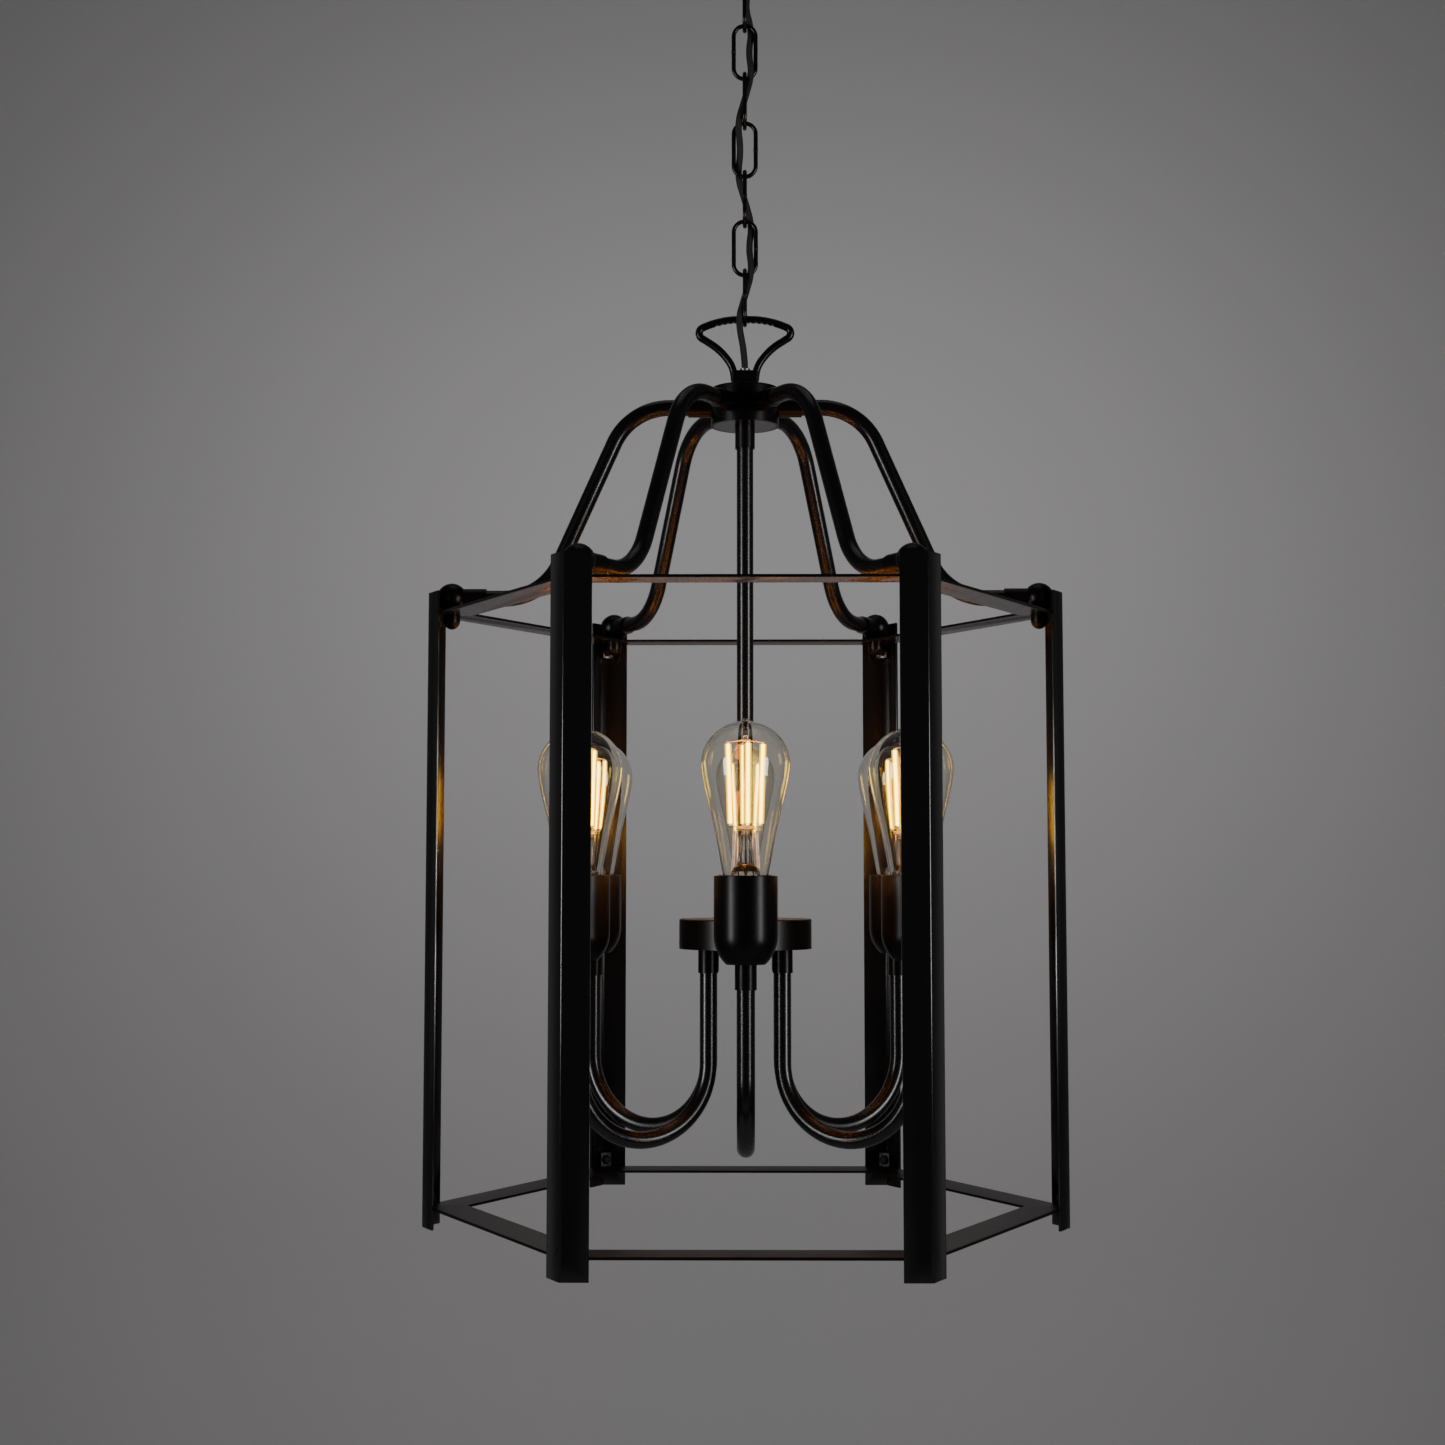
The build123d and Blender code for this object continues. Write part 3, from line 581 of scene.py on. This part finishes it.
def cap_ends(bm):
    """Closes every open end and turns the faces outward."""
    bmesh.ops.remove_doubles(bm, verts=bm.verts, dist=1e-7)
    bmesh.ops.holes_fill(bm, edges=[e for e in bm.edges if e.is_boundary], sides=0)
    bmesh.ops.recalc_face_normals(bm, faces=bm.faces)


def put_on(piece, node, slot, body):
    """Stands the piece in for a CAD node, in one of the object's material slots, on a body."""
    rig.replaces(piece, node)
    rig.slot(piece, slot)
    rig.ride(piece, body)


for i in range(1, 8):
    low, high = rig.box(f"chain_link_{i}")
    across = Vector((0, 1, 0)) if i % 2 == 1 else Vector((1, 0, 0))
    spread_r = (high - low).dot(across) / 2 - link_wire / 2
    top_centre = high.z - link_wire / 2 - spread_r
    low_centre = low.z + link_wire / 2 + spread_r
    welded = across * (spread_r if i in (3, 4, 6) else -spread_r)
    half = Vector((0, 0, (top_centre - low_centre) / 2))
    middle_z = (top_centre + low_centre) / 2
    bm = bmesh.new()
    ring = open_ring(bm, welded + Vector((0, 0, middle_z)), (0, 0, 1), link_wire / 2, link_sides)
    side_sign = 1 if welded.dot(across) > 0 else -1
    turn_axis = across.cross(Vector((0, 0, 1))) * side_sign
    ring = run_on(bm, ring, half, straight_steps)
    ring = bend_on(bm, ring, (0, 0, top_centre), turn_axis, math.pi, bow_steps)
    ring = run_on(bm, ring, half * -2, 4)
    ring = bend_on(bm, ring, (0, 0, low_centre), turn_axis, math.pi, bow_steps)
    run_on(bm, ring, half, straight_steps)
    cap_ends(bm)
    for vert in bm.verts:
        off_axis = Vector((vert.co.x, vert.co.y, 0)) - welded
        if off_axis.length < link_wire and abs(vert.co.z - middle_z) < weld_reach:
            ease = math.cos((vert.co.z - middle_z) / weld_reach * math.pi / 2)
            vert.co += off_axis.normalized() * weld_swell * ease
    link = as_object(f"link_{i}_oval", bm, chain_black, crease=60.0)
    put_on(link, f"chain_link_{i}", "black_chain", f"link_{i}")


# ------------------------------------------------------------------ upper hub
# A short drum pressed from two millimetre steel, open below, with a flat plate let into its mouth. The
# six roof arms and the centre rod meet in it.
hub_edge_r, hub_wall, wire_hole_r = 0.0008, 0.002, 0.004
mouth_gap = 0.0001


def arc(centre, radius, start, end, steps):
    """Points (r, z) along an arc, angles in degrees from the outward radius."""
    angles = [math.radians(start + (end - start) * i / steps) for i in range(steps + 1)]
    return [(centre[0] + radius * math.cos(a), centre[1] + radius * math.sin(a)) for a in angles]


def spun(outline, about=(0.0, 0.0), steps=96):
    """A mesh turned about an upright axis from (r, z) points. A closed outline repeats its first point."""
    bm = bmesh.new()
    closed = outline[0] == outline[-1]
    verts = [bm.verts.new((about[0] + r, about[1], z)) for r, z in (outline[:-1] if closed else outline)]
    pairs = list(zip(verts, verts[1:])) + ([(verts[-1], verts[0])] if closed else [])
    edges = [bm.edges.new(pair) for pair in pairs]
    bmesh.ops.spin(bm, geom=verts + edges, cent=(*about, 0), axis=(0, 0, 1), dvec=(0, 0, 0),
                   angle=math.tau, steps=steps, use_merge=True, use_duplicate=False)
    bmesh.ops.remove_doubles(bm, verts=bm.verts, dist=1e-7)
    bmesh.ops.recalc_face_normals(bm, faces=bm.faces)
    return bm


def can(r_out, r_in, open_z, closed_z, edge_r, plate_t, hole_r=0.0):
    """Outline of a pressed can: an outer wall, a flat closed end with a rounded edge, and an inner wall."""
    up = 1 if closed_z > open_z else -1
    outside = arc((r_out - edge_r, closed_z - up * edge_r), edge_r, 0, 90 * up, 8)
    rim = [(r_in, open_z), (r_in + 0.2 * (r_out - r_in), open_z - up * 0.0001),
           (r_out - 0.2 * (r_out - r_in), open_z - up * 0.0001), (r_out, open_z)]
    inside = [(hole_r, closed_z - up * plate_t), (r_in, closed_z - up * plate_t)]
    return rim + outside + [(hole_r, closed_z)] + inside + [rim[0]]


low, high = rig.box("upper_hub")
upper_hub = as_object("upper_hub_drum", spun(can(high.x, high.x - hub_wall, low.z + mouth_gap, high.z,
                                                 hub_edge_r, hub_wall, wire_hole_r)), turned_black)
put_on(upper_hub, "upper_hub", "black_metal", "lantern")
finish_node("hub_plate", sheet_black)


# ------------------------------------------------------------------ roof arms
# Six lengths of drawn steel tube, each bent twice so that it leaves the hub level, drops to the corner
# and arrives level at its ball. They are brazed into the hub and into the balls, then coated.
corner_count = 6
slice_angle = math.tau / corner_count
tube_sides, bend_steps = 48, 20
roof_tube_r, roof_bend_r = 0.00635, 0.048
roof_head_r, roof_foot_r = 0.091, 0.159


def turned_copies(bm):
    """Copies of a mesh turned about the lantern's axis, one for each side."""
    for i in range(corner_count):
        copy = bm.copy()
        bmesh.ops.rotate(copy, verts=copy.verts, cent=(0, 0, 0),
                         matrix=Matrix.Rotation(i * slice_angle, 3, "Z"))
        yield i, copy


arm_low, arm_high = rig.box("roof_arm_1")
head_z, foot_z = arm_high.z - roof_tube_r, arm_low.z + roof_tube_r
hub_wall_r, ball_place_r = 0.025, arm_high.x
slope = Vector((roof_foot_r - roof_head_r, 0, foot_z - head_z))
fall = math.atan2(head_z - foot_z, roof_foot_r - roof_head_r)
tangent = roof_bend_r * math.tan(fall / 2)
bm = bmesh.new()
ring = open_ring(bm, (hub_wall_r, 0, head_z), (1, 0, 0), roof_tube_r, tube_sides)
ring = run_on(bm, ring, (roof_head_r - tangent - hub_wall_r, 0, 0))
ring = bend_on(bm, ring, (roof_head_r - tangent, 0, head_z - roof_bend_r), (0, 1, 0), fall, bend_steps)
ring = run_on(bm, ring, slope * (1 - 2 * tangent / slope.length))
ring = bend_on(bm, ring, (roof_foot_r + tangent, 0, foot_z + roof_bend_r), (0, -1, 0), fall, bend_steps)
run_on(bm, ring, (ball_place_r - roof_foot_r - tangent, 0, 0))
cap_ends(bm)
for i, copy in turned_copies(bm):
    put_on(as_object(f"roof_tube_{i + 1}", copy, tube_black), f"roof_arm_{i + 1}", "black_metal", "lantern")
bm.free()
finish_node("tube_ferrules", turned_black)


# ------------------------------------------------------------------ corner balls and acorn nuts
# A steel ball with small flats sits on the upper ring at each corner. A stud runs through it, and an
# acorn nut pulls it tight; a seventh nut closes the middle of the lower hub.
finish_node("corner_balls", turned_black)
finish_node("acorn_nuts", turned_black)


# ------------------------------------------------------------------ rings, posts and screws
# The cage is sheet steel, cut and folded: two flat hexagonal rings with small upright lugs, and six
# corner posts folded to the hexagon's angle. Pan-head screws hold each post to the lugs, inside.
edge_ease = 0.00035


def eased(name, node, material, width=edge_ease):
    """A copy of a CAD node's sheet metal with its sharp edges rounded over."""
    bm = bmesh.new()
    bm.from_mesh(bpy.data.objects[node].data)
    bmesh.ops.remove_doubles(bm, verts=bm.verts, dist=1e-6)
    bmesh.ops.dissolve_limit(bm, angle_limit=math.radians(0.5), verts=bm.verts, edges=bm.edges)
    sharp = [e for e in bm.edges if e.calc_face_angle(0.0) > math.radians(50)]
    bmesh.ops.bevel(bm, geom=sharp, offset=width, offset_type="OFFSET", affect="EDGES", segments=2,
                    profile=0.5, material=-1, clamp_overlap=True)
    bmesh.ops.triangulate(bm, faces=[f for f in bm.faces if len(f.verts) > 4])
    return as_object(name, bm, material, crease=35.0)


for node, coat in (("top_ring", tube_black), ("bottom_ring", ring_black)):
    put_on(eased(f"{node}_sheet", node, coat), node, "black_metal", "lantern")
for i in range(1, corner_count + 1):
    put_on(eased(f"post_{i}_sheet", f"post_{i}", sheet_black), f"post_{i}", "black_metal", "lantern")
finish_node("post_screws", fixing_black)


# ------------------------------------------------------------------ centre rod and lower hub
# A steel tube screwed up into the upper hub carries the lower hub, a wide turned drum in which the six
# lamps' wires branch. A flat cover closes it from below.
lower_hub_edge_r = 0.0011
finish_node("centre_rod", tube_black)
low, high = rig.box("lower_hub")
hub_out = as_object("lower_hub_drum", spun(can(high.x, high.x - hub_wall, low.z + mouth_gap, high.z,
                                               lower_hub_edge_r, hub_wall, wire_hole_r)), turned_black)
put_on(hub_out, "lower_hub", "black_metal", "lantern")
finish_node("lower_hub_cover", turned_black)


# ------------------------------------------------------------------ lamp arms
# Six tubes leave the lower hub's underside, turn up in a round U and end in the lamp cups. Each is one
# length of thirteen millimetre tube, bent on a former.
lamp_tube_r, lamp_start_r, lamp_bend_r, lamp_bend_steps = 0.0065, 0.033, 0.055, 48
into_hub, into_cup = 0.001, 0.004
bend_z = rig.box("lamp_arms")[0].z + lamp_tube_r + lamp_bend_r
lamp_place_r = lamp_start_r + 2 * lamp_bend_r
cup_low, cup_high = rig.box("lampholder_cups")
hub_floor_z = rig.box("lower_hub")[0].z
bm = bmesh.new()
lamp_turn = Matrix.Rotation(slice_angle / 2, 3, "Z")
ring = open_ring(bm, (lamp_start_r, 0, hub_floor_z + into_hub), (0, 0, -1), lamp_tube_r, tube_sides)
ring = run_on(bm, ring, (0, 0, bend_z - hub_floor_z - into_hub))
ring = bend_on(bm, ring, (lamp_start_r + lamp_bend_r, 0, bend_z), (0, -1, 0), math.pi, lamp_bend_steps)
run_on(bm, ring, (0, 0, cup_low.z + into_cup - bend_z))
cap_ends(bm)
bmesh.ops.rotate(bm, verts=bm.verts, cent=(0, 0, 0), matrix=lamp_turn)
for i, copy in turned_copies(bm):
    arm = as_object(f"lamp_arm_{i + 1}", copy, tube_black)
    put_on(arm, "lamp_arms", "black_metal", "lantern")
bm.free()


# ------------------------------------------------------------------ lampholder cups
# Spun steel cups, straight sided with a bowl below, hide the lampholders. Each is drilled for its arm
# and held down on it by the ferrule beneath.
cup_wall = 0.0012
cup_r, cup_floor_r, cup_bowl_r = 0.02275, 0.014, 0.0272
bowl_centre_r = cup_r - cup_bowl_r
bowl_height = math.sqrt(cup_bowl_r ** 2 - (cup_floor_r - bowl_centre_r) ** 2)
foot_angle = -math.degrees(math.asin(bowl_height / cup_bowl_r))
bowl_z = cup_low.z + bowl_height
outside = arc((bowl_centre_r, bowl_z), cup_bowl_r, foot_angle, 0, 20)
lip = arc((cup_r - cup_wall / 2, cup_high.z - cup_wall / 2), cup_wall / 2, 0, 180, 8)
inside = arc((bowl_centre_r, bowl_z), cup_bowl_r - cup_wall, 0, foot_angle + 2, 20)
tube_hole = lamp_tube_r + 0.0001
cup_outline = ([(tube_hole, cup_low.z)] + outside + lip + inside
               + [(tube_hole, cup_low.z + cup_wall), (tube_hole, cup_low.z)])
bm = spun(cup_outline, (lamp_place_r, 0.0), 72)
bmesh.ops.rotate(bm, verts=bm.verts, cent=(0, 0, 0), matrix=lamp_turn)
for i, copy in turned_copies(bm):
    put_on(as_object(f"lamp_cup_{i + 1}", copy, turned_black), "lampholder_cups", "black_metal", "lantern")
bm.free()


# ------------------------------------------------------------------ lampholders
# Each holder is a moulded black phenolic body with a rolled brass screw shell in its well and a brass
# centre tab on the floor of it.
def phenolic():
    """Black moulding compound: smooth, slightly brown, with a faint wood-flour mottle."""
    material, tree, paint = shader("black_phenolic")
    mottle = noise(tree, on_piece(tree), 500.0, 3.0)
    tree.links.new(blend_colours(tree, spread(tree, mottle, 0.0, 1.0), (0.010, 0.009, 0.008),
                                 (0.022, 0.019, 0.017)), paint.inputs["Base Color"])
    paint.inputs["Roughness"].default_value = 0.38
    return material


def soft_metal(name, dull, bright, low_gloss=0.18, high_gloss=0.34):
    """Bare metal with patchy tarnish."""
    material, tree, paint = shader(name)
    tarnish = noise(tree, on_piece(tree), 180.0, 4.0)
    tree.links.new(blend_colours(tree, spread(tree, tarnish, 0.0, 1.0), dull, bright),
                   paint.inputs["Base Color"])
    tree.links.new(spread(tree, tarnish, high_gloss, low_gloss), paint.inputs["Roughness"])
    paint.inputs["Metallic"].default_value = 1.0
    return material


finish_node("lampholder_cores", phenolic())
finish_node("lampholder_contacts", soft_metal("rolled_brass", (0.42, 0.30, 0.12), (0.72, 0.55, 0.26)))


# ------------------------------------------------------------------ bulbs
# Six pear-shaped filament lamps. A blown clear envelope is sealed to a glass stem, and from the stem's
# collar four straight yellow filament rods stand in a ring and meet a wire crown. The screw cap is nickel.
cap_nickel = soft_metal("cap_nickel", (0.36, 0.34, 0.31), (0.62, 0.60, 0.56))
black_glass = phenolic()
black_glass.name = "black_vitrite"


def clear_glass():
    """Thin blown soda glass, very faintly warm."""
    material, _, paint = shader("blown_clear_glass")
    paint.inputs["Base Color"].default_value = (1.0, 0.98, 0.92, 1.0)
    paint.inputs["Transmission Weight"].default_value = 1.0
    paint.inputs["Roughness"].default_value = 0.0
    paint.inputs["IOR"].default_value = 1.46
    return material


def glowing(name, core, edge, strength):
    """A lit filament: hottest in the middle of the rod and deeper yellow towards its edge."""
    material, tree, paint = shader(name)
    rim = tree.nodes.new("ShaderNodeLayerWeight")
    rim.inputs["Blend"].default_value = 0.45
    across = spread(tree, rim.outputs["Facing"], 0.0, 1.0, 0.03, 0.24)
    tree.links.new(blend_colours(tree, across, core, edge), paint.inputs["Emission Color"])
    paint.inputs["Base Color"].default_value = (0.02, 0.015, 0.01, 1.0)
    paint.inputs["Emission Strength"].default_value = strength
    return material


glass = clear_glass()
filament_glow = glowing("filament_glow", (1.0, 0.70, 0.05), (0.20, 0.115, 0.001), 10.0)
lead_metal = soft_metal("lead_wire", (0.62, 0.56, 0.46), (0.90, 0.84, 0.74), 0.30, 0.50)
glass_t = 0.0009
waist_r, neck_r, foot_r = 0.032, 0.0162, 0.01205
bulb_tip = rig.box("bulb_5_glass")[1].z
glass_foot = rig.box("bulb_5_glass")[0].z
rim_z = cup_high.z
profile = [(0.00, 0.0162), (0.0077, 0.0177), (0.0230, 0.0204), (0.0385, 0.0235), (0.0540, 0.0275),
           (0.0690, 0.0309), (0.0790, 0.0320)]
pip_r, pip_height = 0.0035, 0.0016


def envelope_outline(inset):
    """Points (r, z) of the glass from its foot up to the tip, drawn in by a distance."""
    side = [(foot_r - inset, glass_foot), (neck_r - 0.0004 - inset, rim_z - 0.003)]
    side += [(r - inset, rim_z + up) for up, r in profile]
    waist_z = rim_z + profile[-1][0]
    crown_height = bulb_tip - pip_height - inset - waist_z
    crown = [((waist_r - inset) * math.cos(t), waist_z + crown_height * math.sin(t))
             for t in (math.pi / 2 * i / 24 for i in range(1, 23))]
    pip = [(pip_r, waist_z + crown_height * 1.004), (pip_r * 0.72, bulb_tip - inset - pip_height * 0.45),
           (pip_r * 0.4, bulb_tip - inset - pip_height * 0.12), (0.0, bulb_tip - inset)]
    return side + crown + pip


def smoothed(points, rounds=2):
    """An outline with its corners cut, its ends kept."""
    for _ in range(rounds):
        cut = [points[0]]
        for (r0, z0), (r1, z1) in zip(points, points[1:]):
            cut += [(0.75 * r0 + 0.25 * r1, 0.75 * z0 + 0.25 * z1),
                    (0.25 * r0 + 0.75 * r1, 0.25 * z0 + 0.75 * z1)]
        points = cut + [points[-1]]
    return points


def bulb_mesh(outline, steps=64):
    """A turned mesh at the first lamp's place, before its turn about the lantern."""
    return spun(outline, (lamp_place_r, 0.0), steps)


# The envelope's outer and inner skins, closed at the foot, then the stem and the rod that it holds.
skin = smoothed(envelope_outline(0.0)) + smoothed(envelope_outline(glass_t))[::-1]
envelope = bulb_mesh(skin + [skin[0]], 72)
stem_top, collar_z = rim_z + 0.030, rim_z + 0.033
crown_z = rim_z + 0.0965
stem = bulb_mesh(smoothed([(0.0, glass_foot), (foot_r - glass_t, glass_foot), (0.0088, glass_foot + 0.008),
                           (0.0062, rim_z + 0.006), (0.0052, rim_z + 0.018), (0.0046, stem_top - 0.003),
                           (0.0030, stem_top), (0.0, stem_top)]), 40)
rod_r, rod_foot_z = 0.0016, stem_top - 0.002
rod = bulb_mesh([(0.0, rod_foot_z), (rod_r, rod_foot_z), (rod_r, crown_z + 0.001),
                 (0.0022, crown_z + 0.0022), (0.0012, crown_z + 0.0036), (0.0, crown_z + 0.0038)], 20)
filament_r, filament_count, filament_twist = 0.0024, 4, 0.14
filament_foot_r, filament_head_r = 0.0108, 0.0127
lead_length, lead_r, spoke_r, strap_r = 0.002, filament_r * 0.55, 0.00045, 0.0011
rods = bmesh.new()
wires = bmesh.new()
for k in range(filament_count):
    turn = Matrix.Rotation(k * math.tau / filament_count + filament_twist, 3, "Z")
    foot = turn @ Vector((filament_foot_r, 0, 0)) + Vector((lamp_place_r, 0, collar_z + 0.0025))
    head = turn @ Vector((filament_head_r, 0, 0)) + Vector((lamp_place_r, 0, crown_z - 0.0015))
    way = (head - foot).normalized()
    run_on(rods, open_ring(rods, foot + way * 0.0015, way, filament_r, 12), (head - foot) * 0.95)
    for start, end in ((foot, foot + way * lead_length), (head - way * lead_length, head)):
        run_on(wires, open_ring(wires, start, way, lead_r, 8), end - start)
    for z, far in ((collar_z, foot), (crown_z, head)):
        inner = Vector((lamp_place_r, 0, z)) + (turn @ Vector((0.001, 0, 0)))
        run_on(wires, open_ring(wires, inner, far - inner, spoke_r, 8), far - inner)
# Wire rings round the stem's collar and the crown, and the two flat straps up from the cap.
collar = bmesh.new()
for z, ring_r, wire_r in ((collar_z, 0.0068, 0.0006), (collar_z + 0.0016, 0.0058, 0.0005),
                          (crown_z, 0.0034, 0.0004)):
    section = open_ring(collar, (lamp_place_r + ring_r, 0, z), (0, 1, 0), wire_r, 8)
    bend_on(collar, section, (lamp_place_r, 0, 0), (0, 0, 1), math.tau, 32)
for side in (-1, 1):
    foot = Vector((lamp_place_r, side * 0.0092, glass_foot + 0.006))
    head = Vector((lamp_place_r, side * 0.0078, collar_z - 0.001))
    strap = open_ring(collar, foot, (0, 0, 1), strap_r, 12)
    bmesh.ops.scale(collar, verts=list({v for e in strap for v in e.verts}), vec=(0.45, 1.0, 1.0),
                    space=Matrix.Translation(-foot))
    run_on(collar, strap, head - foot)
cap_ends(rods)
cap_ends(wires)
cap_ends(collar)

bulb_parts = (("envelope", envelope, glass), ("stem", stem, glass), ("stem_rod", rod, glass),
              ("filaments", rods, filament_glow), ("wires", wires, lead_metal),
              ("straps", collar, lead_metal))
for part_name, bm, material in bulb_parts:
    bmesh.ops.rotate(bm, verts=bm.verts, cent=(0, 0, 0), matrix=lamp_turn)
    for i, copy in turned_copies(bm):
        piece = as_object(f"bulb_{i + 1}_{part_name}", copy, material)
        put_on(piece, f"bulb_{i + 1}_glass", "bulb_glass", f"bulb_{i + 1}")
        piece.visible_shadow = material is not glass
    bm.free()
glow_watts, glow_colour, glow_r, glow_height = 0.6, (1.0, 0.24, 0.01), 0.012, 0.065
for i in range(corner_count):
    finish_node(f"bulb_{i + 1}_cap", cap_nickel)
    finish_node(f"bulb_{i + 1}_contact", black_glass)
    glow = bpy.data.lights.new(f"bulb_{i + 1}_light", "POINT")
    glow.energy, glow.color, glow.shadow_soft_size = glow_watts, glow_colour, glow_r
    lamp = bpy.data.objects.new(f"bulb_{i + 1}_light", glow)
    round_axis = Matrix.Rotation(i * slice_angle, 3, "Z")
    lamp.location = lamp_turn @ round_axis @ Vector((lamp_place_r, 0, rim_z + glow_height))
    lamp.visible_camera = lamp.visible_transmission = False
    bpy.context.scene.collection.objects.link(lamp)
    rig.ride(lamp, f"bulb_{i + 1}")

seen_low, seen_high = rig.bounds()
with open("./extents.json", "w") as size_file:
    json.dump({"cad": [list(cad_low), list(cad_high)],
               "visual": [list(seen_low), list(seen_high)]}, size_file)
